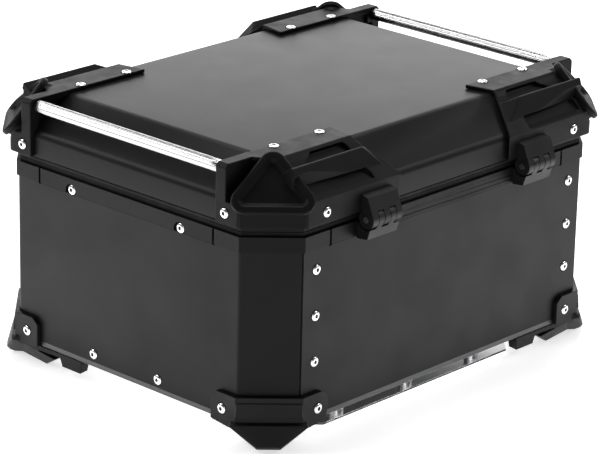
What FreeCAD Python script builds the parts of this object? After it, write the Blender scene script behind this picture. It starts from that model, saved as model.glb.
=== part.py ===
import FreeCAD, Part
import os
import math
from FreeCAD import Vector as V

# Motorcycle top case: riveted aluminium box on a mounting plate, hinged lid
# with four moulded corner brackets and two tie rails.
# Millimetres. +X along the long side, +Y towards the hinges, +Z up, ground z=0.

# ---------------------------------------------------------------- dimensions
HX, HY = 240.0, 189.5          # outer half sizes of the body panels
LEG = 41.0                     # leg of the vertical corner chamfers
T = 1.5                        # sheet thickness
Z_PAN = 21.5                   # underside of the bottom pan
Z_PAN_FLOOR = 23.5
Z_PANEL0, Z_PANEL1 = 27.0, 203.8
Z_RIM0, Z_RIM1 = 190.5, 205.5  # rim strip
RIM_OUT = 2.0                  # how far the rim and lid skirt stand proud
Z_SKIRT0, Z_SKIRT1 = 215.5, 239.0
Z_TOP = 268.2
TOP_X, TOP_Y, TOP_LEG = 196.0, 149.6, 6.0
RIVET_R, SHANK_R, HOLE_R = 5.0, 2.35, 2.45
PANEL_RIVET_X, PANEL_RIVET_Z = 182.0, (80.0, 125.0, 170.0)
END_RIVET_Y, END_RIVET_Z = 44.0, 35.0
RIM_RIVET_Y, RIM_RIVET_Z = 73.0, 194.0
FOOT_RIVET_X, FOOT_RIVET_Y, FOOT_RIVET_Z = 181.0, 133.2, 35.0
WING_RIVET_X, WING_RIVET_Y, WING_RIVET_Z = 177.2, 135.2, 226.0
TOP_RIVET_X, TOP_RIVET_Y = (177.1, 116.4), 128.7
Z_PLATE = 272.0                # top of the bracket plates
WING_OUT = 6.9                 # bracket wings, proud of the body panels
FOOT_OUT = 5.0
RAIL_X, RAIL_Z, RAIL_R, RAIL_END = 237.5, 264.6, 6.0, 131.0
HINGE_Y, HINGE_Z, HINGE_R = 203.0, 208.8, 9.0
HINGE_X0, HINGE_PITCH = 91.5, 8.0
PIN_R, PIN_HOLE_R, PIN_HEAD_R = 2.5, 2.55, 3.0
HINGE_GAP_LID, HINGE_GAP_BODY = 1.4, 1.6          # clearance round the fingers of each leaf
LATCH_Z = 178.0                # axis of the quarter-turn handle
BASE_CX, BASE_LX, BASE_HY, BASE_Z0, BASE_Z1 = 19.6, 151.0, 176.0, 4.0, 6.0
SLOT_X, SLOT_Y, SLOT_R, SLOT_LEN = 110.0, 90.0, 4.25, 30.0

R2 = math.sqrt(2.0)
os.makedirs("parts", exist_ok=True)


# ------------------------------------------------------------------- helpers
def octagon(d, z):
    """Body outline offset inwards by d, as points at height z."""
    hx, hy = HX - d, HY - d
    k = HX + HY - LEG - R2 * d
    q = [(hx, k - hx), (k - hy, hy)]
    p = q + [(-x, y) for x, y in reversed(q)]
    p = p + [(-x, -y) for x, y in p]
    return [V(x, y, z) for x, y in p]


def face(pts):
    return Part.Face(Part.makePolygon(list(pts) + [pts[0]]))


def slab(pts, dz):
    return face(pts).extrude(V(0, 0, dz))


def octo(d, z0, z1):
    return slab(octagon(d, z0), z1 - z0)


def ring(d0, d1, z0, z1):
    return octo(d0, z0, z1).cut(octo(d1, z0 - 1, z1 + 1))


def prism_x(yz, x0, x1):
    return face([V(x0, y, z) for y, z in yz]).extrude(V(x1 - x0, 0, 0))


def prism_y(xz, y0, y1):
    return face([V(x, y0, z) for x, z in xz]).extrude(V(0, y1 - y0, 0))


def prism_z(xy, z0, z1):
    return face([V(x, y, z0) for x, y in xy]).extrude(V(0, 0, z1 - z0))


def box(x0, x1, y0, y1, z0, z1):
    return Part.makeBox(x1 - x0, y1 - y0, z1 - z0, V(x0, y0, z0))


def cyl(r, a, b):
    a, b = V(*a), V(*b)
    return Part.makeCylinder(r, (b - a).Length, a, b - a)


def solid_of(polys):
    """Closed solid from planar polygons."""
    sh = Part.makeShell([face(p) for p in polys])
    s = Part.makeSolid(sh)
    if s.Volume < 0:
        s.reverse()
    return s


def frustum(b, t):
    n = len(b)
    return solid_of([list(reversed(b)), t] + [[b[i], b[(i + 1) % n], t[(i + 1) % n], t[i]] for i in range(n)])


def mx(s):
    return s.mirror(V(0, 0, 0), V(1, 0, 0))


def my(s):
    return s.mirror(V(0, 0, 0), V(0, 1, 0))


def fuse(parts):
    s = parts[0]
    for p in parts[1:]:
        s = s.fuse(p)
    return s.removeSplitter()


def group(parts):
    return Part.makeCompound(parts)


NAMES = []


def out(name, shape):
    shape = shape.removeSplitter() if shape.ShapeType != "Compound" or len(shape.Solids) == 1 else shape
    solids = shape.Solids
    for s in solids:
        if not s.isValid() or s.Volume <= 0:
            print("BAD", name, s.isValid(), s.Volume)
    if len(solids) == 1:
        shape = solids[0]
    shape.exportStep("parts/%s.step" % name)
    NAMES.append(name)
    print("%-24s solids %2d  volume %.0f" % (name, len(solids), sum(s.Volume for s in solids)))


def rivet(pos, normal, grip, r=RIVET_R):
    """Blind rivet: domed head with its mandrel recess, shank, and formed tail."""
    g = -grip
    k = r / 5.0
    prof = [(0, 0.9 * k), (1.5 * k, 0.9 * k), (1.5 * k, 1.75 * k), (2.6 * k, 1.62 * k), (3.7 * k, 1.2 * k),
            (4.6 * k, 0.6 * k), (r, 0.15), (r, 0.02), (SHANK_R, 0.02), (SHANK_R, g - 0.02), (3.6, g - 0.02),
            (3.6, g - 1.6), (2.4, g - 2.6), (0, g - 2.6)]
    f = face([V(a, 0, b) for a, b in prof])
    s = f.revolve(V(0, 0, 0), V(0, 0, 1), 360)
    s = s.Solids[0] if s.Solids else Part.makeSolid(s)
    s.Placement = FreeCAD.Placement(V(*pos), FreeCAD.Rotation(V(0, 0, 1), V(*normal)))
    return s


def hole(pos, normal, depth, r=HOLE_R, ahead=3.0):
    p, n = V(*pos), V(*normal)
    return Part.makeCylinder(r, depth + ahead, p + n * ahead, n * -1)


def screw(pos, normal, length, head_r=4.0, head_h=2.4, r=1.9, hexr=1.6):
    """Button screw: head outside pos along normal, shank the other way."""
    s = Part.makeCylinder(head_r, head_h).fuse(Part.makeCylinder(r, length, V(0, 0, -length)))
    pts = [V(hexr * math.cos(math.radians(60 * i)), hexr * math.sin(math.radians(60 * i)), head_h - 1.3) for i in range(6)]
    s = s.cut(face(pts).extrude(V(0, 0, 3)))
    s.Placement = FreeCAD.Placement(V(*pos), FreeCAD.Rotation(V(0, 0, 1), V(*normal)))
    return s


def quads(pos, normal, only=None):
    """The four mirror images of one (position, normal)."""
    r = []
    for sx in (1, -1):
        for sy in (1, -1):
            r.append(((pos[0] * sx, pos[1] * sy, pos[2]), (normal[0] * sx, normal[1] * sy, normal[2])))
    return r


# ------------------------------------------------------------ fastener plans
panel_rv = []                                    # (pos, normal, grip)
for z in PANEL_RIVET_Z:
    for p, n in quads((PANEL_RIVET_X, HY, z), (0, 1, 0)):
        panel_rv.append((p, n, 3.05))
for p, n in quads((HX, END_RIVET_Y, END_RIVET_Z), (1, 0, 0)):
    panel_rv.append((p, n, 3.2))
rim_rv = [(p, n, 4.9) for p, n in quads((HX, RIM_RIVET_Y, RIM_RIVET_Z), (1, 0, 0))]
foot_rv = [(p, n, FOOT_OUT + 4.7) for p, n in quads((FOOT_RIVET_X, HY + FOOT_OUT, FOOT_RIVET_Z), (0, 1, 0))]
foot_rv += [(p, n, FOOT_OUT + 3.2) for p, n in quads((HX + FOOT_OUT, FOOT_RIVET_Y, FOOT_RIVET_Z), (1, 0, 0))]
wing_rv = [(p, n, WING_OUT - 0.5) for p, n in quads((WING_RIVET_X, HY + WING_OUT, WING_RIVET_Z), (0, 1, 0))]
wing_rv += [(p, n, WING_OUT - 0.5) for p, n in quads((HX + WING_OUT, WING_RIVET_Y, WING_RIVET_Z), (1, 0, 0))]
top_rv = []
for x in TOP_RIVET_X:
    for p, n in quads((x, TOP_RIVET_Y, Z_PLATE), (0, 0, 1)):
        top_rv.append((p, n, Z_PLATE - Z_TOP + T))

HINGE_SX = (101.0, 122.0)                        # hinge screws, x on the +X hinge
Z_BSCREW, Z_LSCREW = 196.0, 225.5
body_sc = [((sx * x, 184.55, Z_BSCREW), (0, -1, 0)) for sx in (1, -1) for x in HINGE_SX]
lid_sc = [((sx * x, 189.95, Z_LSCREW), (0, -1, 0)) for sx in (1, -1) for x in HINGE_SX]
latch_sc = [((x, -187.95, z), (0, 1, 0)) for x in (-29.5, 29.5) for z in (164.0, 184.0)]
keeper_rv = [((x, -194.1, 228.0), (0, -1, 0), 4.1) for x in (-15.0, 15.0)]
bolts_xy = [(BASE_CX + dx, sy * 160.0) for dx in (-98.0, 0.0, 98.0) for sy in (1, -1)]

body_cuts = [hole(p, n, g + 4) for p, n, g in panel_rv + rim_rv + foot_rv]
body_cuts += [hole(p, n, 17, 2.0, 6) for p, n in body_sc]
latch_cuts = [hole(p, n, 4, 2.0, 3) for p, n in latch_sc]
lid_cuts = [hole(p, n, g + 4) for p, n, g in wing_rv + top_rv + keeper_rv]
lid_cuts += [hole(p, n, 12, 2.0, 6) for p, n in lid_sc]
BODY_CUT, LID_CUT, LATCH_CUT = group(body_cuts), group(lid_cuts), group(latch_cuts)
BOLT_CUT = group([cyl(3.1, (x, y, -5), (x, y, 40)) for x, y in bolts_xy])


def near(cut, s, pad=1.0):
    """Only the cutters whose boxes meet the shape."""
    b = s.BoundBox
    b.enlarge(pad)
    return [c for c in cut.Solids if b.intersect(c.BoundBox)]


def drill(s, *cuts):
    tools = []
    for c in cuts:
        tools += near(c, s)
    return s.cut(tools) if tools else s


# ---------------------------------------------------------------- body shell
pan = octo(0.8, Z_PAN, 26.9).fuse(octo(3.4, Z_PAN, 48.0)).cut(octo(4.9, Z_PAN_FLOOR, 60.0))
pan = pan.fuse(ring(1.9, 4.9, Z_PAN, 26.9))
# end panels carry a flange behind the long panels, so the long sides of the pan stay inside it
end_flange_y = HY - T - 0.05
pan_flange = box(-236.8, 236.8, -(end_flange_y - T - 0.15), end_flange_y - T - 0.15, Z_PAN, 48.0)
pan = octo(0.8, Z_PAN, 26.9).fuse(octo(1.7, Z_PAN, 48.0).common(box(-300, 300, -186.3, 186.3, 0, 100)))
pan = pan.cut(octo(3.2, Z_PAN_FLOOR, 60.0).common(box(-300, 300, -184.8, 184.8, 0, 100)))
pan = drill(pan, BODY_CUT, BOLT_CUT)
out("bottom_pan", pan)

k0 = HX + HY - LEG
fy = HY - T - 0.05
outer = [(168.0, fy), (k0 - fy, fy), (HX, HY - LEG)]
outer = outer + [(x, -y) for x, y in reversed(outer)]
ki = k0 - T * R2
inner = [(168.0, fy - T), (ki - (fy - T), fy - T), (HX - T, ki - (HX - T))]
inner = inner + [(x, -y) for x, y in reversed(inner)]
end_panel = prism_z(outer + list(reversed(inner)), Z_PANEL0, Z_PANEL1)
end_panel = drill(end_panel, BODY_CUT)
out("right_end_panel", end_panel)
out("left_end_panel", mx(end_panel))

rear_panel = box(-199, 199, HY - T, HY, Z_PANEL0, Z_PANEL1)
out("rear_panel", drill(rear_panel, BODY_CUT))
front_panel = my(rear_panel)
out("front_panel", drill(front_panel, BODY_CUT, LATCH_CUT, group([cyl(8.0, (0, -195, LATCH_Z), (0, -180, LATCH_Z))])))

rim = fuse([ring(-RIM_OUT, -0.1, Z_RIM0, 204.1), ring(-RIM_OUT, 9.0, 204.0, Z_RIM1),
            ring(7.5, 9.0, 205.0, 212.0), ring(3.4, 4.9, 192.0, 204.1)])
rim = drill(rim, BODY_CUT)
strip_rear = rim.common(box(-165.2, 165.2, 150, 220, 180, 220))
out("rim_strip_rear", strip_rear)
out("rim_strip_front", rim.common(box(-165.2, 165.2, -220, -150, 180, 220)))
scallop = [cyl(7.0, (239.9, sy * RIM_RIVET_Y, RIM_RIVET_Z - 1.0), (250, sy * RIM_RIVET_Y, RIM_RIVET_Z - 1.0)) for sy in (1, -1)]
strip_right = rim.common(box(200, 260, -115.7, 115.7, 180, 220)).cut(scallop)
out("rim_strip_right", strip_right)
out("rim_strip_left", mx(strip_right))
corner = rim.common(box(166.8, 260, 117.3, 220, 180, 220))
out("rim_corner_rear_right", corner)
out("rim_corner_rear_left", mx(corner))
out("rim_corner_front_right", my(corner))
out("rim_corner_front_left", mx(my(corner)))

seal = fuse([ring(1.5, 7.3, 205.6, 213.4), ring(2.6, 6.2, 213.3, 215.3)])
out("rim_seal", seal)

out("panel_rivets", group([rivet(*a) for a in panel_rv]))
out("rim_rivets", group([rivet(*a) for a in rim_rv]))
out("foot_rivets", group([rivet(*a) for a in foot_rv]))

# ---------------------------------------------------------------------- feet
CM = V(HX - LEG / 2, HY - LEG / 2, 0)            # middle of the +X +Y chamfer
M = V(1 / R2, 1 / R2, 0)                         # outwards across it
U = V(-1 / R2, 1 / R2, 0)                        # along it


def cp(u, o, z):
    """Point given along the chamfer, out of it, and up."""
    return CM + U * u + M * o + V(0, 0, z)


def hull4(bottom, top):
    """Solid between two planar quads with matching corners (faces may be split)."""
    polys = [list(reversed(bottom)), top]
    n = len(bottom)
    for i in range(n):
        j = (i + 1) % n
        a, b, c, d = bottom[i], bottom[j], top[j], top[i]
        nn = (b - a).cross(c - a)
        if abs(nn.normalize().dot(d - a)) < 1e-6:
            polys.append([a, b, c, d])
        else:
            polys.append([a, b, c])
            polys.append([a, c, d])
    return solid_of(polys)


def hull(pts):
    """Convex solid over a few points."""
    n = len(pts)
    faces, seen = [], set()
    for i in range(n):
        for j in range(i + 1, n):
            for k in range(j + 1, n):
                nn = (pts[j] - pts[i]).cross(pts[k] - pts[i])
                if nn.Length < 1e-6:
                    continue
                nn.normalize()
                d = [(p - pts[i]).dot(nn) for p in pts]
                if max(d) > 1e-4 and min(d) < -1e-4:
                    continue
                if max(d) > 1e-4:
                    nn = nn * -1.0
                on = [q for q in range(n) if abs(d[q]) <= 1e-4]
                key = tuple(on)
                if key in seen:
                    continue
                seen.add(key)
                c = sum((pts[q] for q in on), V(0, 0, 0)) * (1.0 / len(on))
                e1 = (pts[on[0]] - c).normalize()
                e2 = nn.cross(e1)
                on.sort(key=lambda q: math.atan2((pts[q] - c).dot(e2), (pts[q] - c).dot(e1)))
                faces.append([pts[q] for q in on])
    return solid_of(faces)


def both(u, o, z):
    return [cp(u, o, z), cp(-u, o, z)]


def make_foot(arm):
    """Moulded corner foot; arm is None, "x" or "y": the face that its arm runs along."""
    wings = ring(-FOOT_OUT, -0.1, 19.0, 50.5).common(box(168.4, 260, 118.6, 220, 0, 60))
    # wings rise to rounded outer corners and are cut back below
    wings = wings.cut(prism_y([(160, 45.0), (168.4, 45.0), (175.4, 50.6), (175.4, 60), (160, 60)], 150, 230))
    wings = wings.cut(prism_x([(110, 45.0), (118.6, 45.0), (125.4, 50.6), (125.4, 60), (110, 60)], 200, 260))
    wings = wings.cut(prism_y([(160, 24.5), (172, 21.0), (190, 18.9), (160, 18.9)], 150, 230))
    wings = wings.cut(prism_x([(110, 24.5), (122, 21.0), (140, 18.9), (110, 18.9)], 200, 260))
    band = hull4([cp(-31.5, FOOT_OUT - 1, 31.5), cp(31.5, FOOT_OUT - 1, 31.5), cp(31.0, FOOT_OUT + 1.8, 31.5), cp(-31.0, FOOT_OUT + 1.8, 31.5)],
                 [cp(-30.5, FOOT_OUT - 1, 45), cp(30.5, FOOT_OUT - 1, 45), cp(30.0, FOOT_OUT + 0.8, 45), cp(-30.0, FOOT_OUT + 0.8, 45)])
    # prow: flat-topped, V-shaped from the front, rounded underneath
    toe = hull(both(30, 8.6, 24.8) + both(36.2, 7.8, 22.8) + both(35.0, 3.5, 26.6) + [cp(0, 15.0, 6.0)] +
               both(11.5, 14.6, 5.5) + both(11.0, 11.2, 2.0) + both(10.2, 6.5, 0) + both(14, -20, 0) + both(37, -8, 19.5))
    parts = [wings, band, toe]
    if arm:
        sole = hull([V(225, 174, 0), V(231.5, 120, 0), V(219.5, 122.5, 0), V(206, 166, 0),
                     V(240, 150, 18.0), V(240, 100, 12.8), V(224, 100, 12.8), V(214, 150, 18.0)])
        bar = hull([V(225, 150, 21.2), V(240.0, 150, 21.2), V(225, 62, 21.2), V(240.0, 62, 21.2),
                    V(225, 150, 15.5), V(240.0, 150, 16.0), V(225, 62, 16.5), V(240.0, 62, 17.0)])
        tab = hull([V(229, 92, 17.5), V(240.0, 92, 17.5), V(229, 62, 17.5), V(240.0, 62, 17.5),
                    V(229, 90, 9.0), V(238.5, 90, 8.0), V(229, 64, 9.0), V(238.5, 64, 8.0)])
        extra = [sole, bar, tab]
        if arm == "y":
            # same arm across the corner's diagonal
            extra = [e.mirror(CM, U) for e in extra]
        parts += extra
    s = fuse([p.cut(octo(-0.1, 21.3, 60.0)) for p in parts]).removeSplitter()
    print("foot", arm, len(s.Solids), round(s.Volume), s.isValid())
    return drill(s, BODY_CUT)


foot_plain, foot_x, foot_y = make_foot(None), make_foot("x"), make_foot("y")
# arms sit on one diagonal pair, as mirror images
out("foot_rear_right", foot_plain)
out("foot_front_left", mx(my(foot_plain)))
out("foot_front_right", my(foot_x))
out("foot_rear_left", mx(foot_y))

# ---------------------------------------------------------------- base plate
bx0, bx1 = BASE_CX - BASE_LX, BASE_CX + BASE_LX
c = 18.0
plate_xy = [(bx0 + c, -BASE_HY), (bx1 - c, -BASE_HY), (bx1, -BASE_HY + c), (bx1, BASE_HY - c), (bx1 - c, BASE_HY),
            (bx0 + c, BASE_HY), (bx0, BASE_HY - c), (bx0, -BASE_HY + c)]
base = prism_z(plate_xy, BASE_Z0, BASE_Z1)
for sx in (1, -1):
    for sy in (1, -1):
        cx, cy, h = BASE_CX + sx * SLOT_X, sy * SLOT_Y, SLOT_LEN / 2 - SLOT_R
        base = base.cut(fuse([box(cx - h, cx + h, cy - SLOT_R, cy + SLOT_R, 0, 10),
                              cyl(SLOT_R, (cx - h, cy, 0), (cx - h, cy, 10)), cyl(SLOT_R, (cx + h, cy, 0), (cx + h, cy, 10))]))
for sx in (1, -1):
    base = base.cut(prism_z([(BASE_CX + sx * 35, -22), (BASE_CX + sx * 68, -22), (BASE_CX + sx * 75, -15),
                             (BASE_CX + sx * 75, 15), (BASE_CX + sx * 68, 22), (BASE_CX + sx * 35, 22)], 0, 10))
base = drill(base, BOLT_CUT)
out("base_plate", base)
out("base_spacers", group([cyl(7.0, (x, y, BASE_Z1 + 0.02), (x, y, Z_PAN - 0.02)).cut(cyl(3.1, (x, y, 0), (x, y, 30))) for x, y in bolts_xy]))
bolts, nuts = [], []
for x, y in bolts_xy:
    b = screw((x, y, BASE_Z0 - 0.02), (0, 0, -1), 26.0, 5.5, 2.8, 3.0, 2.3)
    bolts.append(b)
    pts = [V(x + 5.6 * math.cos(math.radians(60 * i)), y + 5.6 * math.sin(math.radians(60 * i)), Z_PAN_FLOOR + 0.02) for i in range(6)]
    nuts.append(face(pts).extrude(V(0, 0, 5.0)).cut(cyl(3.05, (x, y, 20), (x, y, 40))))
out("base_bolts", group(bolts))
out("base_nuts", group(nuts))

# ----------------------------------------------------------------- lid shell
K_LID = HX + HY - LEG + R2 * RIM_OUT


def top_oct(hx, hy, k, z):
    q = [(hx, k - hx), (k - hy, hy)]
    p = q + [(-x, y) for x, y in reversed(q)]
    return [V(x, y, z) for x, y in p + [(-x, -y) for x, y in p]]


K_TOP = TOP_X + TOP_Y - TOP_LEG


def lid_block(d, zb, ztop, hx, hy, k):
    return octo(d, Z_SKIRT0 - 0.5, zb).fuse(frustum(octagon(d, zb), top_oct(hx, hy, k, ztop))).removeSplitter()


lid_outer = octo(-RIM_OUT, Z_SKIRT0, Z_SKIRT1).fuse(
    frustum(octagon(-RIM_OUT, Z_SKIRT1), top_oct(TOP_X, TOP_Y, K_TOP, Z_TOP))).removeSplitter()
lid_inner = octo(-RIM_OUT + T, Z_SKIRT0 + T, 238.2).fuse(
    frustum(octagon(-RIM_OUT + T, 238.2), top_oct(195.56, 149.13, 338.86, Z_TOP - T))).removeSplitter()
lid = lid_outer.cut(lid_inner).cut(octo(10.0, Z_SKIRT0 - 1, Z_SKIRT0 + 3))
lid = drill(lid, LID_CUT)
out("lid_shell", lid)

# a slightly enlarged lid, used to trim the brackets to its surface
lid_big = octo(-RIM_OUT - 0.15, 200.0, Z_SKIRT1 + 0.1).fuse(
    frustum(octagon(-RIM_OUT - 0.15, Z_SKIRT1 + 0.1), top_oct(TOP_X + 0.1, TOP_Y + 0.1, K_TOP + 0.2, Z_TOP + 0.15))).removeSplitter()

# ------------------------------------------------------------- lid brackets
SL = math.hypot(41.9, 29.2)
ty, tz = 41.9 / SL, -29.2 / SL                   # down the long slope
ny, nz = 29.2 / SL, 41.9 / SL                    # out of it


def S(s, h):
    return (TOP_Y + ty * s + ny * h, Z_TOP + tz * s + nz * h)


def tri(c1, c2, r1, r2, shrink, n0, n1, O, W, N):
    """Rounded triangle: two lower corner circles and an apex circle, extruded along N."""
    (a, b), (e, f) = c1, c2
    ra, rb = r1 - shrink, r2 - shrink
    dx, dy = e - a, f - b                        # lower right centre to apex centre
    L = math.hypot(dx, dy)
    al = math.atan2(dy, dx)
    ga = math.acos((ra - rb) / L)
    ang = al - ga                                # direction of the outward normal on the right edge
    nx_, ny_ = math.cos(ang), math.sin(ang)

    def P(u, w):
        return O + U * u + W * w + N * n0
    p_low = (a, b - ra)
    p_r1 = (a + ra * nx_, b + ra * ny_)
    p_r2 = (e + rb * nx_, f + rb * ny_)
    mid = (ang - math.pi / 2) / 2
    p_c = (a + ra * math.cos(mid), b + ra * math.sin(mid))
    top = (e, f + rb)
    edges = [Part.LineSegment(P(-a, b - ra), P(*p_low)).toShape(),
             Part.Arc(P(*p_low), P(*p_c), P(*p_r1)).toShape(),
             Part.LineSegment(P(*p_r1), P(*p_r2)).toShape(),
             Part.Arc(P(*p_r2), P(*top), P(-p_r2[0], p_r2[1])).toShape(),
             Part.LineSegment(P(-p_r2[0], p_r2[1]), P(-p_r1[0], p_r1[1])).toShape(),
             Part.Arc(P(-p_r1[0], p_r1[1]), P(-p_c[0], p_c[1]), P(-a, b - ra)).toShape()]
    return Part.Face(Part.Wire(edges)).extrude(N * (n1 - n0))


PAD_O = CM + M * 15.5 + V(0, 0, 232.5)
PAD_W = M * -0.85 + V(0, 0, 1.0)
PAD_W.normalize()
PAD_N = M * 1.0 + V(0, 0, 0.85)
PAD_N.normalize()


def pad_tri(shrink, n0, n1):
    return tri((25.0, 13.0), (0.0, 49.0), 13.0, 12.0, shrink, n0, n1, PAD_O, PAD_W, PAD_N)


def pad_loft(s0, n0, s1, n1):
    """Tapered rounded-triangle block between two levels of the pad."""
    w0 = pad_tri(s0, n0, n0 + 1).Faces
    w1 = pad_tri(s1, n1, n1 + 1).Faces

    def low(fs, n):
        o = PAD_O + PAD_N * n
        return min(fs, key=lambda f: max(abs((v.Point - o).dot(PAD_N)) for v in f.Vertexes)).OuterWire
    return Part.makeLoft([low(w0, n0), low(w1, n1)], True, True)


plate = prism_z([(96, 124), (236, 124), (236, 136.5), (214, 136.5), (203, 154.5), (102, 154.5)], Z_TOP + 0.15, Z_PLATE)
cover_yz = [(148, 267.0), (148, Z_PLATE), (154.5, Z_PLATE), (157.8, 270.0), S(10.5, 5.2), S(40.0, 5.2),
            (HY + WING_OUT, 240.0), (HY + WING_OUT, 232.0), (188.0, 232.0), (188.0, 239.0), (150, 262.0)]
cover = prism_x(cover_yz, 60.0, 205.0)


def sprism(xs, h0, h1):
    """Prism standing on the long slope: outline given as (x, s), between two heights."""
    pts = [V(x, S(s_, h0)[0], S(s_, h0)[1]) for x, s_ in xs]
    return face(pts).extrude(V(0, ny, nz) * (h1 - h0))


# one deep pocket runs down the cover behind and below the raised bar; its ends are rounded
cover = cover.cut(sprism([(115.5, 8.2), (118.5, 5.8), (160.0, 5.8), (165.0, 10.0), (190.0, 24.0), (190.0, 60.0), (114.5, 60.0),
                          (111.0, 55.0), (111.0, 44.0), (113.5, 38.0), (114.0, 12.0)], 1.6, 30.0))
lip = prism_x([(190.0, 232.0), (HY + WING_OUT, 232.0), (HY + WING_OUT, 240.0), (194.0, 241.4), (190.0, 242.0)], 70.0, 205.0)
bar = prism_x([(177.0, 268.8), (179.2, 268.6), (185.0, 250.9), (178.0, 250.2), (178.0, 246.0), (164.0, 258.0), (168.5, 262.0)], 112.0, 206.0)
bar = bar.cut(prism_z([(112, 186.5), (206, 179.6), (206, 200), (112, 200)], 230, 262))
hip = hull([V(97, 166.8, 262.4), V(112.5, 177.0, 268.8), V(112.5, 179.2, 268.6), V(93.0, 185.6, 250.4), V(112.5, 185.0, 250.9),
            V(95.0, 166, 256), V(112.5, 164, 258), V(91.5, 184.6, 246.0), V(112.5, 184.0, 246.0)])
wing = ring(-WING_OUT, -RIM_OUT - 0.15, Z_SKIRT0, 237.0).common(box(60.0, 260, 123.6, 220, 200, 240))
flank = prism_z([(96, 120), (96, 124), (101.2, 150), (102, 155), (95.5, 168), (84.5, 186), (78, 197), (77, 220), (20, 220), (20, 120)], 200, 290)
post = prism_y([(196, Z_PLATE), (243.5, Z_PLATE), (HX + WING_OUT, 268.5), (HX + WING_OUT, 230), (236, 230), (236, 262), (232, 266), (196, 266.0)],
               123.6, 136.5)
web = prism_y([(190, 262), (190, 271), (244, 271), (244, 232), (236, 232)], 127.5, 136.5)
boss = box(228.5, HX + WING_OUT, 123.6, 136.5, 256.0, 268.0)
pad = fuse([pad_tri(0.0, -4.5, 0.0), pad_loft(0.0, 0.0, 1.6, 1.4)]).cut(pad_loft(6.8, 1.6, 10.8, -2.6)).removeSplitter()
# solid backing behind the pad, falling to the plate
DROP = (M * -1.0 + V(0, 0, -0.36)).normalize()
core = pad_tri(2.2, -6.0, -4.4)
core = max(core.Faces, key=lambda f: f.CenterOfMass.dot(PAD_N)).extrude(DROP * 44.0).common(box(100, 300, 100, 300, Z_SKIRT0 + 0.1, 300))
cheek = hull4([cp(-30, -1, 215.6), cp(30, -1, 215.6), cp(30, WING_OUT + 0.9, 215.6), cp(-30, WING_OUT + 0.9, 215.6)],
              [cp(-30, -1, 229), cp(30, -1, 229), cp(30, WING_OUT + 0.9, 229), cp(-30, WING_OUT + 0.9, 229)])
bracket = fuse([p.cut(lid_big) for p in (plate, cover.cut(flank), lip.cut(flank), bar, hip, wing.cut(flank), post, web, boss, core, cheek, pad)])
print("bracket", bracket.isValid(), [round(q.Volume) for q in bracket.Solids])
rail_socket = cyl(RAIL_R + 0.08, (RAIL_X, 120.0, RAIL_Z), (RAIL_X, RAIL_END + 0.3, RAIL_Z))
bracket = bracket.cut(rail_socket)
solids = sorted(bracket.Solids, key=lambda s: -s.Volume)
print("bracket solids", [round(s.Volume) for s in solids])
bracket = solids[0].removeSplitter()
out("lid_bracket_rear_right", drill(bracket, LID_CUT))
out("lid_bracket_rear_left", drill(mx(bracket), LID_CUT))
out("lid_bracket_front_right", drill(my(bracket), LID_CUT))
out("lid_bracket_front_left", drill(mx(my(bracket)), LID_CUT))

rail = cyl(RAIL_R, (RAIL_X, -RAIL_END, RAIL_Z), (RAIL_X, RAIL_END, RAIL_Z)).cut(
    cyl(RAIL_R - 1.5, (RAIL_X, -RAIL_END - 1, RAIL_Z), (RAIL_X, RAIL_END + 1, RAIL_Z)))
out("tie_rail_right", rail)
out("tie_rail_left", mx(rail))
out("lid_wing_rivets", group([rivet(*a) for a in wing_rv]))
out("lid_top_rivets", group([rivet(*a) for a in top_rv]))

# -------------------------------------------------------------------- hinges
hx0, hx1 = HINGE_X0, HINGE_X0 + 5 * HINGE_PITCH
lid_rng = [(hx0, hx0 + 7.6), (hx0 + 16.4, hx0 + 23.6), (hx0 + 32.4, hx1)]
body_rng = [(hx0 + 8.4, hx0 + 15.6), (hx0 + 24.4, hx0 + 31.6)]


def hc(r, x0, x1):
    return cyl(r, (x0, HINGE_Y, HINGE_Z), (x1, HINGE_Y, HINGE_Z))


lid_leaf = prism_x([(HY + WING_OUT + 0.1, 232.0), (204.1, 229.8), (211.9, 210.2), (203, 208.8), (199.5, 215.6), (HY + WING_OUT + 0.1, 217.0)], hx0, hx1)
lid_leaf = lid_leaf.fuse(hc(HINGE_R, hx0, hx1))
lid_leaf = lid_leaf.cut([hc(HINGE_R + HINGE_GAP_LID, a - 0.8, b + 0.8) for a, b in body_rng]
                        + [box(a - 0.8, b + 0.8, 190, 220, 190, 211.5) for a, b in body_rng])
lid_leaf = lid_leaf.cut(hc(PIN_HOLE_R, hx0 - 5, hx1 + 5))
body_leaf = prism_x([(191.65, 188.5), (204.8, 189.8), (208.1, 199.9), (210.4, 203.8), (203, 208.8), (194.6, 205.2), (191.65, 203.2)], hx0, hx1)
body_leaf = body_leaf.fuse(hc(HINGE_R, hx0, hx1))
rb = HINGE_R + HINGE_GAP_BODY
body_leaf = body_leaf.cut([hc(rb, a - 0.8, b + 0.8) for a, b in lid_rng[1:2]]
                          + [hc(rb, hx0 - 3, lid_rng[0][1] + 0.8), hc(rb, lid_rng[2][0] - 0.8, hx1 + 3)]
                          + [box(a - 0.8, b + 0.8, 185, 220, 205.6, 230) for a, b in lid_rng[1:2]]
                          + [box(hx0 - 3, lid_rng[0][1] + 0.8, 185, 220, 205.6, 230), box(lid_rng[2][0] - 0.8, hx1 + 3, 185, 220, 205.6, 230)])
body_leaf = body_leaf.cut(hc(PIN_HOLE_R, hx0 - 5, hx1 + 5))
lid_leaf = drill(lid_leaf, LID_CUT)
body_leaf = drill(body_leaf, BODY_CUT)
pin = fuse([hc(PIN_R, hx0 - 0.3, hx1 + 0.3), hc(PIN_HEAD_R, hx0 - 1.1, hx0 - 0.3), hc(PIN_HEAD_R, hx1 + 0.3, hx1 + 1.1)])
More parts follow.
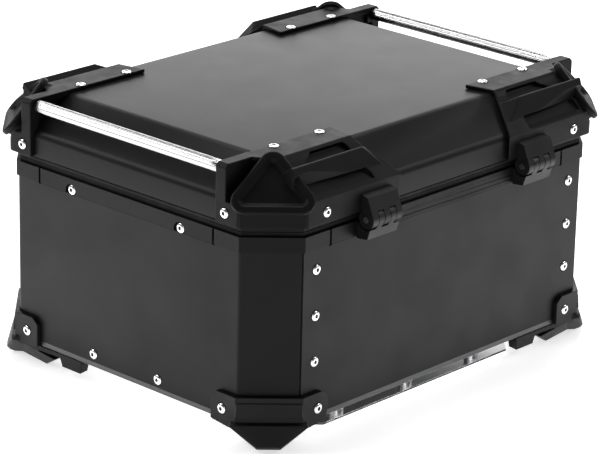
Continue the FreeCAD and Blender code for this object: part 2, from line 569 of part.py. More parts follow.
for nm, f in (("right", lambda s: s), ("left", mx)):
    out("hinge_lid_leaf_" + nm, f(lid_leaf))
    out("hinge_body_leaf_" + nm, f(body_leaf))
    out("hinge_pin_" + nm, f(pin))
out("hinge_body_screws", group([screw(p, n, 15.0) for p, n in body_sc]))
out("hinge_lid_screws", group([screw(p, n, 11.0) for p, n in lid_sc]))

# --------------------------------------------------------------------- latch
# drawn on the +Y side and mirrored to the front; |y| grows outwards
hs = prism_y([(-34, 160), (-30, 156), (30, 156), (34, 160), (34, 200), (30, 204), (-30, 204), (-34, 200)], 191.6, 207.3)
hs = hs.fuse(box(-34, 34, 189.6, 191.6, 158, 189.5))
hs = hs.cut(box(-24.5, 24.5, 194.0, 204.3, 161.5, 210))
hs = hs.cut(cyl(9.06, (0, 185, LATCH_Z), (0, 215, LATCH_Z)).common(box(-20, 20, 203, 215, 150, 200)))
hs = hs.cut(cyl(7.0, (0, 185, LATCH_Z), (0, 195, LATCH_Z)))
# sloped lower lip and finger relief round the handle
hs = hs.cut(prism_x([(200.0, 156), (207.3, 156), (207.3, 164)], -40, 40))
for x in (-29.5, 29.5):
    for z in (164.0, 184.0):
        hs = hs.cut(cyl(2.0, (x, 185, z), (x, 201, z)))
out("latch_housing", my(hs))
out("latch_screws", group([screw(p, n, 11.0) for p, n in latch_sc]))

rot = cyl(9.0, (0, 200.0, LATCH_Z), (0, 208.0, LATCH_Z))
bar = fuse([box(-6.5, 6.5, 207.6, 212.0, LATCH_Z - 14, LATCH_Z + 14), cyl(6.5, (0, 207.6, LATCH_Z + 14), (0, 212.0, LATCH_Z + 14)),
            cyl(6.5, (0, 207.6, LATCH_Z - 14), (0, 212.0, LATCH_Z - 14)), cyl(11.0, (0, 207.6, LATCH_Z), (0, 210.4, LATCH_Z))])
handle = fuse([rot, bar, box(-3.4, 3.4, 197.0, 200.2, LATCH_Z - 3.4, LATCH_Z + 3.4)])
handle = handle.cut(cyl(5.05, (0, 201.5, LATCH_Z), (0, 215, LATCH_Z)))
handle = handle.cut(cyl(1.55, (0, 190, LATCH_Z), (0, 201.0, LATCH_Z)))
out("latch_handle", my(handle))
cam = fuse([cyl(7.0, (0, 197.0, LATCH_Z), (0, 199.5, LATCH_Z)), box(-3.2, 3.2, 197.0, 199.5, LATCH_Z, LATCH_Z + 15.5)])
cam = cam.cut(box(-3.5, 3.5, 190, 205, LATCH_Z - 3.5, LATCH_Z + 3.5))
out("latch_cam", my(cam))
cs = cyl(5.2, (0, 194.6, LATCH_Z), (0, 196.9, LATCH_Z)).fuse(cyl(1.5, (0, 196.9, LATCH_Z), (0, 200.8, LATCH_Z)))
out("cam_screw", my(cs))
plug = cyl(5.0, (0, 201.7, LATCH_Z), (0, 211.4, LATCH_Z)).cut(box(-0.7, 0.7, 206, 215, LATCH_Z - 3.6, LATCH_Z + 3.6))
out("lock_plug", my(plug))
keeper = fuse([box(-22, 22, 191.6, 194.1, 217.5, 236.5), box(-22, 22, 191.6, 199.5, 217.5, 220.0),
               box(-22, -17, 197.0, 199.5, 168.0, 218.0), box(17, 22, 197.0, 199.5, 168.0, 218.0),
               box(9.5, 17.5, 197.0, 199.5, 168.0, 173.4), box(-17.5, -9.5, 197.0, 199.5, 168.0, 173.4)])
keeper = drill(my(keeper), LID_CUT)
out("latch_keeper", keeper)
out("keeper_rivets", group([rivet(*a) for a in keeper_rv]))
print(len(NAMES), "nodes")
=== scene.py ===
import bpy, bmesh, math
import numpy as np
from mathutils import Vector, Matrix


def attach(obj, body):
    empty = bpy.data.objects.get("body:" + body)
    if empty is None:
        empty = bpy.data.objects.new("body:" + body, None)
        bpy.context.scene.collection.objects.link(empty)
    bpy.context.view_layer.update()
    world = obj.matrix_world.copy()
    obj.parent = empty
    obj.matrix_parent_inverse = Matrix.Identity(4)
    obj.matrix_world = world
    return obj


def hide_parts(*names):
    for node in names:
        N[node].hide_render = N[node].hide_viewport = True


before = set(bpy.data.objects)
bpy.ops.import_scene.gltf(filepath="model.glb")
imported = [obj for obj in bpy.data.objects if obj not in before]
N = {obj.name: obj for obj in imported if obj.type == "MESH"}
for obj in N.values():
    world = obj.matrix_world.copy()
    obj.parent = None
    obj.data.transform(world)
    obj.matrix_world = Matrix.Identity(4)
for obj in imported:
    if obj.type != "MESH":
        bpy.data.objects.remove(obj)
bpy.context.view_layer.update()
scene = bpy.context.scene
MM = 0.001

# ------------------------------------------------------------------ camera
AZ, EL, RL = math.radians(132.9222704), math.radians(19.7679659), math.radians(1.28206245)
back = Vector((math.sin(AZ) * math.cos(EL), -math.cos(AZ) * math.cos(EL), math.sin(EL)))
fwd = -back
right = fwd.cross(Vector((0, 0, 1))).normalized()
up = right.cross(fwd)
right, up = right * math.cos(RL) + up * math.sin(RL), up * math.cos(RL) - right * math.sin(RL)
cam_data = bpy.data.cameras.new("camera")
cam = bpy.data.objects.new("camera", cam_data)
scene.collection.objects.link(cam)
m3 = Matrix((right, up, back)).transposed()
cam.matrix_world = Matrix.Translation((2.08207, 1.93426, 1.13778)) @ m3.to_4x4()
cam_data.sensor_fit = "HORIZONTAL"
cam_data.sensor_width = 36.0
cam_data.lens = 3044.862 * 36.0 / 599.0
cam_data.clip_end = 60.0
scene.camera = cam
scene.view_settings.view_transform = "Standard"
scene.view_settings.look = "None"
scene.view_settings.exposure = 0.0
scene.view_settings.gamma = 1.0


# light strengths: world, low side boxes, light-table panels beside the case, overhead, behind, front, floor glow
P_WORLD, P_LEFT, P_RIGHT, P_TABLE_L, P_TABLE_R, P_TOP, P_BACK = 0.02, 36.0, 26.0, 2.4, 2.1, 95.0, 84.0
P_FRONT, P_GLOW = 12.0, 0.64

# --------------------------------------------------------------- materials
def new_mat(name):
    m = bpy.data.materials.new(name)
    m.use_nodes = True
    nt = m.node_tree
    for n in list(nt.nodes):
        nt.nodes.remove(n)
    o = nt.nodes.new("ShaderNodeOutputMaterial")
    b = nt.nodes.new("ShaderNodeBsdfPrincipled")
    nt.links.new(b.outputs[0], o.inputs[0])
    return m, nt, b


def noise(nt, scale, detail=3.0, rough=0.55, stretch=None):
    tc = nt.nodes.new("ShaderNodeTexCoord")
    src = tc.outputs["Object"]
    if stretch:
        mp = nt.nodes.new("ShaderNodeMapping")
        mp.inputs["Scale"].default_value = stretch
        nt.links.new(src, mp.inputs[0])
        src = mp.outputs[0]
    n = nt.nodes.new("ShaderNodeTexNoise")
    n.inputs["Scale"].default_value = scale
    n.inputs["Detail"].default_value = detail
    n.inputs["Roughness"].default_value = rough
    nt.links.new(src, n.inputs["Vector"])
    return n.outputs[0]


def ramp(nt, src, stops):
    r = nt.nodes.new("ShaderNodeValToRGB")
    e = r.color_ramp.elements
    e[0].position, e[0].color = stops[0][0], (*stops[0][1], 1)
    e[1].position, e[1].color = stops[-1][0], (*stops[-1][1], 1)
    for p, c in stops[1:-1]:
        x = e.new(p)
        x.color = (*c, 1)
    nt.links.new(src, r.inputs[0])
    return r.outputs[0]


def rng(nt, src, a, b, fa=0.3, fb=0.7):
    m = nt.nodes.new("ShaderNodeMapRange")
    m.inputs[1].default_value, m.inputs[2].default_value = fa, fb
    m.inputs[3].default_value, m.inputs[4].default_value = a, b
    nt.links.new(src, m.inputs[0])
    return m.outputs[0]


def bump(nt, heights, bsdf):
    """Chain of bumps: [(height socket, strength, distance in metres)]."""
    prev = None
    for h, s, d in heights:
        b = nt.nodes.new("ShaderNodeBump")
        b.inputs["Strength"].default_value = s
        b.inputs["Distance"].default_value = d
        nt.links.new(h, b.inputs["Height"])
        if prev:
            nt.links.new(prev, b.inputs["Normal"])
        prev = b.outputs[0]
    nt.links.new(prev, bsdf.inputs["Normal"])


def mul_color(nt, src, a, b):
    return ramp(nt, src, [(0.25, a), (0.75, b)])


def g(v, k=1.02):
    return (v, v, v * k)


def powder(name, base, r0, r1, spec=0.35, grain=1500.0, gstr=0.35):
    """Satin powder coat: fine pebbled grain over a faint long wave, slightly uneven gloss."""
    m, nt, b = new_mat(name)
    col = mul_color(nt, noise(nt, 9.0, 4.0), g(base * 0.86), g(base * 1.14))
    fine = noise(nt, grain, 2.0, 0.6)
    mid = noise(nt, grain * 0.28, 2.0, 0.5)
    mix = nt.nodes.new("ShaderNodeMix")
    mix.data_type = "RGBA"
    mix.blend_type = "MULTIPLY"
    mix.inputs[0].default_value = 1.0
    nt.links.new(col, mix.inputs[6])
    nt.links.new(mul_color(nt, fine, (0.9,) * 3, (1.1,) * 3), mix.inputs[7])
    nt.links.new(mix.outputs[2], b.inputs["Base Color"])
    nt.links.new(rng(nt, noise(nt, 22.0, 5.0), r0, r1), b.inputs["Roughness"])
    b.inputs["Specular IOR Level"].default_value = spec
    bump(nt, [(mid, 0.12, 0.0002), (fine, gstr, 0.00006)], b)
    return m


def plastic(name, base, r0, r1, spec=0.35, grain=900.0, gstr=0.5):
    """Moulded plastic: pebble grain from cells, with faint flow marks."""
    m, nt, b = new_mat(name)
    tc = nt.nodes.new("ShaderNodeTexCoord")
    v = nt.nodes.new("ShaderNodeTexVoronoi")
    v.feature = "F1"
    v.inputs["Scale"].default_value = grain
    nt.links.new(tc.outputs["Object"], v.inputs["Vector"])
    col = mul_color(nt, noise(nt, 30.0, 4.0), g(base * 0.82), g(base * 1.18))
    nt.links.new(col, b.inputs["Base Color"])
    nt.links.new(rng(nt, noise(nt, 60.0, 4.0), r0, r1), b.inputs["Roughness"])
    b.inputs["Specular IOR Level"].default_value = spec
    bump(nt, [(noise(nt, 220.0, 2.0), 0.15, 0.0002), (v.outputs["Distance"], gstr, 0.00008)], b)
    return m


def metal(name, base, r0, r1, stretch=(1, 1, 1), scale=400.0, bstr=0.2, metallic=1.0):
    m, nt, b = new_mat(name)
    s = noise(nt, scale, 4.0, 0.6, stretch)
    nt.links.new(mul_color(nt, s, g(base * 0.9, 1.01), g(min(1.0, base * 1.08), 1.01)), b.inputs["Base Color"])
    nt.links.new(rng(nt, s, r0, r1), b.inputs["Roughness"])
    b.inputs["Metallic"].default_value = metallic
    bump(nt, [(s, bstr, 0.00008)], b)
    return m


M_PANEL = powder("panel_powder", 0.005, 0.42, 0.52, 0.15)
M_LID = powder("lid_powder", 0.006, 0.405, 0.435, 0.12)
M_RIM = powder("rim_powder", 0.0045, 0.40, 0.50, 0.12)
M_BRACKET = plastic("bracket_plastic", 0.005, 0.44, 0.56, 0.10)
M_FOOT = plastic("foot_plastic", 0.006, 0.44, 0.56, 0.19)
M_HINGE = plastic("hinge_plastic", 0.008, 0.40, 0.52, 0.2, grain=1400.0, gstr=0.3)
M_PAN = metal("pan_mill_aluminium", 0.70, 0.42, 0.60, (1, 12, 12), 60.0)
M_INNER = metal("inner_aluminium", 0.60, 0.42, 0.60, (1, 12, 12), 60.0)
M_BASE = metal("base_mill_aluminium", 0.92, 0.12, 0.20, (12, 1, 12), 60.0, 0.05)


def painted_facing_shade(m, side, sign):
    """Painted shade by facing: with sign only downward faces keep the aluminium colour, else faces pointing up or
    down keep it; all other faces take the dark side colour, standing in for shade and dark reflection.
    """
    nt = m.node_tree
    b = [n for n in nt.nodes if n.type == "BSDF_PRINCIPLED"][0]
    src = b.inputs["Base Color"].links[0].from_socket
    ge = nt.nodes.new("ShaderNodeNewGeometry")
    sp = nt.nodes.new("ShaderNodeSeparateXYZ")
    nt.links.new(ge.outputs["Normal"], sp.inputs[0])
    ma = nt.nodes.new("ShaderNodeMath")
    ma.operation = "MULTIPLY" if sign else "ABSOLUTE"
    ma.inputs[1].default_value = -1.0
    nt.links.new(sp.outputs[2], ma.inputs[0])
    mx = nt.nodes.new("ShaderNodeMix")
    mx.data_type = "RGBA"
    nt.links.new(rng(nt, ma.outputs[0], 0.0, 1.0, 0.45, 0.6), mx.inputs[0])
    mx.inputs[6].default_value = (*g(side), 1)
    nt.links.new(src, mx.inputs[7])
    nt.links.new(mx.outputs[2], b.inputs["Base Color"])


# painted shade: the pan's sides and upward faces are coloured dark grey and its downward faces stay bright
# aluminium; the base plate's vertical edges are coloured near-black as a painted shadow line
painted_facing_shade(M_PAN, 0.10, True)
painted_facing_shade(M_BASE, 0.03, False)
M_RAIL = metal("rail_polished", 0.50, 0.14, 0.24, (60, 1, 60), 40.0, 0.15)
M_RIVET = metal("rivet_bright", 0.95, 0.22, 0.32, (1, 1, 1), 900.0, 0.1)
# near-black rivet centres: painted shade in the sunk mandrel recess
M_RIVET_RECESS_SHADE = metal("rivet_core_painted_shade", 0.015, 0.5, 0.7, (1, 1, 1), 900.0, 0.1, 0.2)
M_STEEL = metal("zinc_steel", 0.62, 0.28, 0.42, (1, 1, 1), 300.0, 0.15)
M_BLACKSTEEL = powder("black_steel", 0.018, 0.35, 0.45, 0.5)
M_CHROME = metal("lock_chrome", 0.8, 0.08, 0.16, (1, 1, 1), 500.0, 0.05)
M_PIN = metal("hinge_pin_steel", 0.16, 0.35, 0.5, (1, 1, 1), 300.0, 0.15)
M_SEAL = plastic("seal_rubber", 0.006, 0.6, 0.75, 0.2, 600.0, 0.4)
# near-black, used only as painted shade: rings under rivet heads and strips in and under the rim joints
M_PAINTED_SHADE = plastic("painted_shade_black", 0.002, 0.85, 0.95, 0.0)


# ------------------------------------------------------------ mesh helpers
def obj_from_bm(name, bm, mats, smooth_angle=35.0):
    me = bpy.data.meshes.new(name)
    bm.to_mesh(me)
    bm.free()
    for m in mats:
        me.materials.append(m)
    o = bpy.data.objects.new(name, me)
    scene.collection.objects.link(o)
    shade(o, smooth_angle)
    return o


def shade(o, angle=35.0):
    for p in o.data.polygons:
        p.use_smooth = True
    if angle < 180:
        o.data.set_sharp_from_angle(angle=math.radians(angle))


def put(o, body, slot, *nodes):
    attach(o, body)
    if nodes:
        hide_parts(*nodes)
    return o


def applied(o, name, mats=None, angle=180.0):
    """New object holding o's mesh after its modifiers; o is removed."""
    dg = bpy.context.evaluated_depsgraph_get()
    me = bpy.data.meshes.new_from_object(o.evaluated_get(dg), depsgraph=dg)
    old = o.data
    bpy.data.objects.remove(o)
    bpy.data.meshes.remove(old)
    me.name = name
    n = bpy.data.objects.new(name, me)
    scene.collection.objects.link(n)
    if mats is not None:
        me.materials.clear()
        for m in mats:
            me.materials.append(m)
    shade(n, angle)
    return n


def cad_copy(node, name):
    bm = bmesh.new()
    bm.from_mesh(N[node].data)
    bmesh.ops.remove_doubles(bm, verts=bm.verts, dist=2e-6)
    me = bpy.data.meshes.new(name)
    bm.to_mesh(me)
    bm.free()
    o = bpy.data.objects.new(name, me)
    scene.collection.objects.link(o)
    return o


def moulded(node, name, mat, voxel=0.55, smooth=5, ratio=0.35):
    """Moulded version of a CAD solid: same shape, with rounded edges and fillets."""
    o = cad_copy(node, name + "_tmp")
    r = o.modifiers.new("r", "REMESH")
    r.mode = "VOXEL"
    r.voxel_size = voxel * MM
    r.adaptivity = 0.0
    s = o.modifiers.new("s", "SMOOTH")
    s.factor = 0.5
    s.iterations = smooth
    if ratio < 1:
        d = o.modifiers.new("d", "DECIMATE")
        d.ratio = ratio
    return applied(o, name, [mat])


def mirrored(src, name, sx, sy, mat):
    me = src.data.copy()
    me.transform(Matrix.Diagonal((sx, sy, 1, 1)))
    if sx * sy < 0:
        me.flip_normals()
    me.name = name
    o = bpy.data.objects.new(name, me)
    scene.collection.objects.link(o)
    return o


def dress(node, mat, bevel=0.4, seg=2, angle=30.0):
    """CAD node keeps its mesh; it gets a material, a weld and rounded edges."""
    o = N[node]
    o.data.materials.clear()
    o.data.materials.append(mat)
    for p in o.data.polygons:
        p.use_smooth = True
    if bevel:
        w = o.modifiers.new("weld", "WELD")
        w.merge_threshold = 2e-6
        b = o.modifiers.new("bevel", "BEVEL")
        b.width = bevel * MM
        b.segments = seg
        b.limit_method = "ANGLE"
        b.angle_limit = math.radians(angle)
        b.use_clamp_overlap = True
        b.harden_normals = False
        wn = o.modifiers.new("normals", "WEIGHTED_NORMAL")
        wn.mode = "FACE_AREA"
        wn.weight = 90
        wn.keep_sharp = True
    return o


# ----------------------------------------------------------- bent end panels
HX, HY, LEG, T = 240.0, 189.5, 41.0, 1.5


def fillet_path(pts, radii, seg=6):
    """2D open polyline with rounded corners."""
    outp = [Vector(pts[0])]
    for i in range(1, len(pts) - 1):
        a, b, c = Vector(pts[i - 1]), Vector(pts[i]), Vector(pts[i + 1])
        r = radii[i]
        u, v = (a - b).normalized(), (c - b).normalized()
        ang = u.angle(v)
        d = r / math.tan(ang / 2)
        p, q = b + u * d, b + v * d
        cen = b + (u + v).normalized() * (r / math.sin(ang / 2))
        a0 = math.atan2(p.y - cen.y, p.x - cen.x)
        a1 = math.atan2(q.y - cen.y, q.x - cen.x)
        da = (a1 - a0 + math.pi) % (2 * math.pi) - math.pi
        for k in range(seg + 1):
            t = a0 + da * k / seg
            outp.append(cen + Vector((math.cos(t), math.sin(t))) * r)
    outp.append(Vector(pts[-1]))
    return outp


def offset_path(path, d):
    res = []
    n = len(path)
    for i, p in enumerate(path):
        a = path[max(i - 1, 0)]
        b = path[min(i + 1, n - 1)]
        t = (b - a).normalized()
        res.append(p + Vector((-t.y, t.x)) * d)
    return res


def sheet_wall(name, path, thick, z0, z1, mats, inner_slot=0, rows=2):
    """Vertical bent sheet: outer face along the path, thickness to its left."""
    bm = bmesh.new()
    ip = offset_path(path, thick)
    zs = [z0 + (z1 - z0) * i / (rows - 1) for i in range(rows)]
    O = [[bm.verts.new((p.x * MM, p.y * MM, z * MM)) for p in path] for z in zs]
    I = [[bm.verts.new((p.x * MM, p.y * MM, z * MM)) for p in ip] for z in zs]
    n = len(path)
    for r in range(rows - 1):
        for i in range(n - 1):
            bm.faces.new((O[r][i], O[r][i + 1], O[r + 1][i + 1], O[r + 1][i]))
            f = bm.faces.new((I[r][i], I[r + 1][i], I[r + 1][i + 1], I[r][i + 1]))
            f.material_index = inner_slot
        for k in (0, n - 1):
            bm.faces.new((O[r][k], O[r + 1][k], I[r + 1][k], I[r][k]))
    for i in range(n - 1):
        bm.faces.new((O[-1][i], O[-1][i + 1], I[-1][i + 1], I[-1][i]))
        bm.faces.new((O[0][i], I[0][i], I[0][i + 1], O[0][i + 1]))
    bmesh.ops.recalc_face_normals(bm, faces=bm.faces)
    return obj_from_bm(name, bm, mats, 30.0)


fy = HY - T - 0.05
k0 = HX + HY - LEG
pts = [(168.0, -fy), (k0 - fy, -fy), (HX, -(HY - LEG)), (HX, HY - LEG), (k0 - fy, fy), (168.0, fy)]
path = fillet_path(pts, [0, 3.0, 6.0, 6.0, 3.0, 0], 8)
ep = sheet_wall("end_panel_sheet_right", path, T, 27.0, 203.8, [M_PANEL, M_INNER], 1)
put(ep, "case", "panel_coat", "right_end_panel")
ep2 = mirrored(ep, "end_panel_sheet_left", -1, 1, M_PANEL)
shade(ep2, 30)
put(ep2, "case", "panel_coat", "left_end_panel")


# ----------------------------------------------------------------- lid shell
def octo_pts(d):
    hx, hy = HX - d, HY - d
    k = HX + HY - LEG - math.sqrt(2) * d
    q = [(hx, k - hx), (k - hy, hy)]
    p = q + [(-x, y) for x, y in reversed(q)]
    return p + [(-x, -y) for x, y in p]


def lid_piece():
    bm = bmesh.new()
    low = [bm.verts.new((x * MM, y * MM, 0.2155)) for x, y in octo_pts(-2.0)]
    mid = [bm.verts.new((x * MM, y * MM, 0.2390)) for x, y in octo_pts(-2.0)]
    K = 196.0 + 149.6 - 6.0
    q = [(196.0, K - 196.0), (K - 149.6, 149.6)]
    p = q + [(-x, y) for x, y in reversed(q)]
    p = p + [(-x, -y) for x, y in p]
    top = [bm.verts.new((x * MM, y * MM, 0.2682)) for x, y in p]
    n = 8
    tf = bm.faces.new(top)
    for i in range(n):
        j = (i + 1) % n
        bm.faces.new((low[i], low[j], mid[j], mid[i]))
        bm.faces.new((mid[i], mid[j], top[j], top[i]))
    bmesh.ops.recalc_face_normals(bm, faces=bm.faces)
    if tf.normal.z < 0:
        bmesh.ops.reverse_faces(bm, faces=bm.faces)
    bm.edges.ensure_lookup_table()
    te = [e for e in bm.edges if all(abs(v.co.z - 0.2682) < 1e-6 for v in e.verts)]
    me_ = [e for e in bm.edges if all(abs(v.co.z - 0.2390) < 1e-6 for v in e.verts)]
    ve = [e for e in bm.edges if e not in te and e not in me_ and abs(e.verts[0].co.z - e.verts[1].co.z) > 1e-4]
    bmesh.ops.bevel(bm, geom=te, offset=0.0035, segments=5, profile=0.5, affect="EDGES", clamp_overlap=True)
    me2 = [e for e in bm.edges if all(abs(v.co.z - 0.2390) < 1e-6 for v in e.verts)]
    bmesh.ops.bevel(bm, geom=me2, offset=0.005, segments=6, profile=0.5, affect="EDGES", clamp_overlap=True)
    o = obj_from_bm("lid_sheet", bm, [M_LID, M_INNER], 180)
    s = o.modifiers.new("s", "SOLIDIFY")
    s.thickness = 0.0015
    s.offset = -1
    s.material_offset = 1
    s.material_offset_rim = 0
    s.use_even_offset = True
    o = applied(o, "lid_sheet", [M_LID, M_INNER], 25.0)
    return o


lid_o = lid_piece()
put(lid_o, "lid", "lid_coat", "lid_shell")

# folded hem inside the lid's lower edge
def ring_piece(name, profile, mats, body, slot, *nodes, angle=35.0):
    """Closed ring round the case: profile is [(inward offset d, z)] in order."""
    bm = bmesh.new()
    rows = [[bm.verts.new((x * MM, y * MM, z * MM)) for x, y in octo_pts(d)] for d, z in profile]
    m = len(rows)
    for r in range(m):
        a, b = rows[r], rows[(r + 1) % m]
        for i in range(8):
            j = (i + 1) % 8
            bm.faces.new((a[i], a[j], b[j], b[i]))
    bmesh.ops.recalc_face_normals(bm, faces=bm.faces)
    o = obj_from_bm(name, bm, mats, angle)
    return put(o, body, slot, *nodes)


ring_piece("lid_hem", [(-0.5, 215.55), (9.6, 215.55), (10.0, 216.0), (10.0, 216.6), (9.6, 217.0), (-0.4, 217.0)], [M_INNER], "lid", "lid_coat")

# rubber seal with two lips
ring_piece("seal_profile", [(1.5, 205.65), (1.5, 209.0), (2.0, 209.6), (1.6, 210.4), (1.6, 212.4), (2.4, 213.4), (2.9, 214.8), (3.6, 215.3),
                            (5.3, 215.3), (6.0, 214.6), (6.4, 213.4), (7.2, 213.2), (7.2, 205.65)], [M_SEAL], "case", "seal_rubber", "rim_seal")

# ------------------------------------------------------------------ brackets
br = moulded("lid_bracket_rear_right", "bracket_rear_right", M_BRACKET, 0.6, 4, 0.4)
bl = mirrored(br, "bracket_rear_left", -1, 1, M_BRACKET)
fr = moulded("lid_bracket_front_right", "bracket_front_right", M_BRACKET, 0.6, 4, 0.4)
fl = mirrored(fr, "bracket_front_left", -1, 1, M_BRACKET)
for o, n in ((br, "rear_right"), (bl, "rear_left"), (fr, "front_right"), (fl, "front_left")):
    put(o, "lid", "bracket_plastic", "lid_bracket_" + n)

# ---------------------------------------------------------------------- feet
f1 = moulded("foot_rear_right", "foot_moulding_rear_right", M_FOOT, 0.5, 4, 0.4)
f2 = mirrored(f1, "foot_moulding_front_left", -1, -1, M_FOOT)
f3 = moulded("foot_front_right", "foot_moulding_front_right", M_FOOT, 0.5, 4, 0.4)
f4 = moulded("foot_rear_left", "foot_moulding_rear_left", M_FOOT, 0.5, 4, 0.4)
for o, n in ((f1, "rear_right"), (f2, "front_left"), (f3, "front_right"), (f4, "rear_left")):
    put(o, "case", "foot_plastic", "foot_" + n)


# --------------------------------------------------------------------- rails
def ribbed_tube(name, x, z, r, y0, y1, ribs=26, depth=0.22):
    bm = bmesh.new()
    per = 6
    n = ribs * per
    ys = [y0, y0 + 0.4] + [y0 + 0.4 + (y1 - y0 - 0.8) * i / 12 for i in range(1, 12)] + [y1 - 0.4, y1]
    rows = []
    for k, y in enumerate(ys):
        end = 0.35 if k in (0, len(ys) - 1) else 0.0
        row = []
        for i in range(n):
            t = 2 * math.pi * i / n
            rr = r - depth * (0.5 - 0.5 * math.cos(ribs * t)) ** 1.5 - end
            row.append(bm.verts.new(((x + rr * math.cos(t)) * MM, y * MM, (z + rr * math.sin(t)) * MM)))
        rows.append(row)
    for a, b in zip(rows, rows[1:]):
        for i in range(n):
            j = (i + 1) % n
            bm.faces.new((a[i], a[j], b[j], b[i]))
    for row in (rows[0], rows[-1]):
        bm.faces.new(row)
    bmesh.ops.recalc_face_normals(bm, faces=bm.faces)
    return obj_from_bm(name, bm, [M_RAIL], 60.0)


for sx, n in ((1, "right"), (-1, "left")):
    put(ribbed_tube("rail_" + n, sx * 237.5, 264.6, 6.0, -131.0, 131.0), "lid", "rail_aluminium", "tie_rail_" + n)


# -------------------------------------------------------------------- rivets
def rivet_mesh(bm, pos, normal, grip, dark_ring=True):
    """Domed head with a sunk mandrel stub coloured near-black as painted shade in its recess, a thin painted shadow
    ring under the head, and the tail inside.
    """
    n = Vector(normal)
    q = Vector((0, 0, 1)).rotation_difference(n).to_matrix().to_4x4()
    mt = Matrix.Translation(Vector(pos) * MM) @ q
    head = [(5.0, 0.03), (5.0, 0.25), (4.85, 0.55), (4.4, 0.95), (3.6, 1.32), (3.0, 1.52), (2.5, 1.62), (2.15, 1.62), (1.95, 1.5), (1.9, 1.2)]
    core = [(1.9, 1.2), (1.8, 0.85), (1.2, 0.95), (0.6, 1.05), (0.0, 1.08)]
    ringp = [(5.7, 0.03), (5.6, 0.12), (5.0, 0.14)]
    tail = [(2.35, -0.03), (2.35, -grip), (3.3, -grip), (3.6, -grip - 0.5), (3.5, -grip - 1.6), (2.6, -grip - 2.4), (1.3, -grip - 2.6), (0, -grip - 2.6)]
    seg = 28
    for prof, mi in ((head, 0), (core, 1), (ringp, 2), (tail, 0)):
        if prof is ringp and not dark_ring:
            continue
        rows = []
        for r, z in prof:
            if r == 0:
                rows.append([bm.verts.new(mt @ Vector((0, 0, z * MM)))])
            else:
                rows.append([bm.verts.new(mt @ Vector((r * math.cos(2 * math.pi * i / seg) * MM, r * math.sin(2 * math.pi * i / seg) * MM, z * MM))) for i in range(seg)])
        for a, b in zip(rows, rows[1:]):
            for i in range(seg):
                j = (i + 1) % seg
                if len(b) == 1:
                    f = bm.faces.new((a[i], a[j], b[0]))
                else:
                    f = bm.faces.new((a[i], a[j], b[j], b[i]))
                f.material_index = mi


def quads(p, n):
    return [((p[0] * a, p[1] * b, p[2]), (n[0] * a, n[1] * b, n[2])) for a in (1, -1) for b in (1, -1)]


def rivet_group(name, items, body, node):
    bm = bmesh.new()
    for p, n, gr in items:
        rivet_mesh(bm, p, n, gr)
    bmesh.ops.remove_doubles(bm, verts=bm.verts, dist=1e-7)
    o = obj_from_bm(name, bm, [M_RIVET, M_RIVET_RECESS_SHADE, M_PAINTED_SHADE], 50.0)
    put(o, body, "rivet_alu", node)


pr = []
for z in (80.0, 125.0, 170.0):
    pr += [(p, n, 3.05) for p, n in quads((182.0, HY, z), (0, 1, 0))]
pr += [(p, n, 3.2) for p, n in quads((HX, 44.0, 35.0), (1, 0, 0))]
rivet_group("rivets_panels", pr, "case", "panel_rivets")
rivet_group("rivets_rim", [(p, n, 4.9) for p, n in quads((HX, 73.0, 194.0), (1, 0, 0))], "case", "rim_rivets")
fo = [(p, n, 9.7) for p, n in quads((181.0, HY + 5.0, 35.0), (0, 1, 0))] + [(p, n, 8.2) for p, n in quads((HX + 5.0, 133.2, 35.0), (1, 0, 0))]
rivet_group("rivets_feet", fo, "case", "foot_rivets")
wi = [(p, n, 6.4) for p, n in quads((177.2, HY + 6.9, 226.0), (0, 1, 0))] + [(p, n, 6.4) for p, n in quads((HX + 6.9, 135.2, 226.0), (1, 0, 0))]
rivet_group("rivets_lid_wings", wi, "lid", "lid_wing_rivets")
tr = []
for x in (177.1, 116.4):
    tr += [(p, n, 5.3) for p, n in quads((x, 128.7, 272.0), (0, 0, 1))]
rivet_group("rivets_lid_top", tr, "lid", "lid_top_rivets")
rivet_group("rivets_keeper", [((x, -194.1, 228.0), (0, -1, 0), 4.1) for x in (-15.0, 15.0)], "lid", "keeper_rivets")

# ------------------------------------------------- painted shade: dark strips in the rim's joints and a painted shadow line under the rim strips
def strip_box(bm, c, sx, sy, sz):
    q = bmesh.ops.create_cube(bm, size=1.0)["verts"]
    bmesh.ops.scale(bm, vec=(sx * MM, sy * MM, sz * MM), verts=q)
    bmesh.ops.translate(bm, vec=Vector(c) * MM, verts=q)


bm = bmesh.new()
for a in (1, -1):
    for b in (1, -1):
        # dark fill in each rim joint: painted shade in the gap
        strip_box(bm, (a * 166.0, b * (HY + 0.95), 197.0), 2.6, 2.2, 14.6)
        strip_box(bm, (a * (HX + 0.95), b * 116.5, 197.0), 2.2, 2.6, 14.6)
    # painted shadow line: thin dark strips on the panels just under the rim strips
    strip_box(bm, (0, a * (HY + 0.25), 190.1), 330.0, 0.5, 1.2)
    strip_box(bm, (a * (HX + 0.25), 0, 190.1), 0.5, 231.0, 1.2)
o = obj_from_bm("rim_joint_painted_shade", bm, [M_PAINTED_SHADE], 30.0)
b_ = o.modifiers.new("b", "BEVEL")
b_.width = 0.15 * MM
b_.segments = 2
put(applied(o, "rim_joint_painted_shade", [M_PAINTED_SHADE], 30.0), "case", "rim_coat")

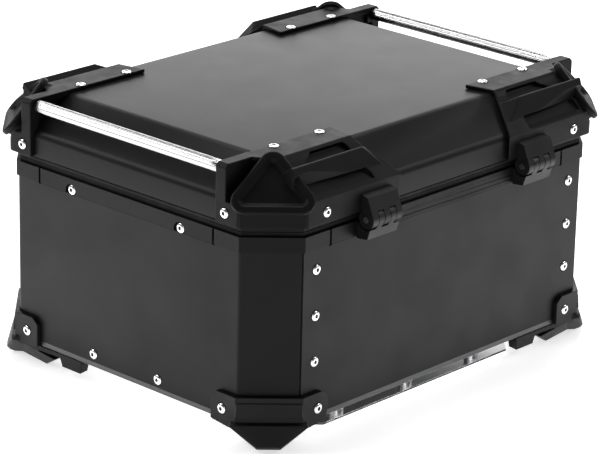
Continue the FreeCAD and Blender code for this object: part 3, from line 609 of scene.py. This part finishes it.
# ----------------------------------------------------- CAD nodes that stay
for n in ("rear_panel", "front_panel"):
    dress(n, M_PANEL, 0.0)
for n in N:
    if n.startswith("rim_strip") or n.startswith("rim_corner"):
        dress(n, M_RIM, 0.5, 3)
    elif n.startswith("hinge_body_leaf") or n.startswith("hinge_lid_leaf"):
        dress(n, M_HINGE, 0.6, 3)
    elif n.startswith("hinge_pin"):
        dress(n, M_PIN, 0.25, 2)
    elif n.endswith("screws") or n in ("base_bolts", "base_nuts", "cam_screw", "latch_cam"):
        dress(n, M_STEEL, 0.25, 2)
dress("bottom_pan", M_PAN, 0.6, 3)
dress("base_plate", M_BASE, 0.4, 2)
dress("base_spacers", M_RIVET, 0.4, 2)
dress("latch_housing", M_BRACKET, 0.8, 3)
dress("latch_keeper", M_BLACKSTEEL, 0.4, 2)
dress("latch_handle", M_BLACKSTEEL, 0.7, 3)
dress("lock_plug", M_CHROME, 0.2, 2)

# ------------------------------------------------------------ floor and light
bm = bmesh.new()
bmesh.ops.create_grid(bm, x_segments=1, y_segments=1, size=12.0)
me = bpy.data.meshes.new("floor")
bm.to_mesh(me)
bm.free()
floor = bpy.data.objects.new("floor", me)
scene.collection.objects.link(floor)
floor.location = (0, 0, -0.0002)
mf, ntf, bf = new_mat("floor_pale")
ntf.links.new(mul_color(ntf, noise(ntf, 1.5, 3.0), (0.90, 0.90, 0.90), (0.93, 0.93, 0.93)), bf.inputs["Base Color"])
bf.inputs["Roughness"].default_value = 0.9
bf.inputs["Specular IOR Level"].default_value = 0.1
bf.inputs["Emission Color"].default_value = (1, 1, 1, 1)
bf.inputs["Emission Strength"].default_value = P_GLOW
me.materials.append(mf)

w = bpy.data.worlds.new("world")
scene.world = w
w.use_nodes = True
w.node_tree.nodes["Background"].inputs[0].default_value = (1, 1, 1, 1)
w.node_tree.nodes["Background"].inputs[1].default_value = P_WORLD


def area(name, loc, target, size, power, size_y=None):
    l = bpy.data.lights.new(name, "AREA")
    l.shape = "RECTANGLE" if size_y else "SQUARE"
    l.size = size
    if size_y:
        l.size_y = size_y
    l.energy = power
    o = bpy.data.objects.new(name, l)
    scene.collection.objects.link(o)
    o.location = loc
    o.rotation_mode = "QUATERNION"
    o.rotation_quaternion = (Vector(target) - Vector(loc)).to_track_quat("-Z", "Y")
    return o


area("soft_left", (1.36, -1.92, 1.75), (0.1, -0.05, 0.2), 2.0, P_LEFT, 0.8)
area("soft_right", (-2.0, 1.4, 1.75), (-0.05, 0.1, 0.2), 2.0, P_RIGHT, 0.8)
area("table_left", (0.58, -0.32, 0.003), (0.58, -0.32, 1.0), 0.60, P_TABLE_L, 0.86)
area("table_right", (-0.32, 0.53, 0.003), (-0.32, 0.53, 1.0), 0.86, P_TABLE_R, 0.60)
area("soft_top", (-0.7, -0.7, 3.4), (0, 0, 0.2), 2.2, P_TOP, 2.2)
area("soft_front", (2.7, 2.5, 1.15), (0.2, 0.2, 0.05), 1.8, P_FRONT, 0.9)
area("soft_back", (-2.9, -2.7, 1.3), (0, 0, 0.3), 4.2, P_BACK, 1.7)
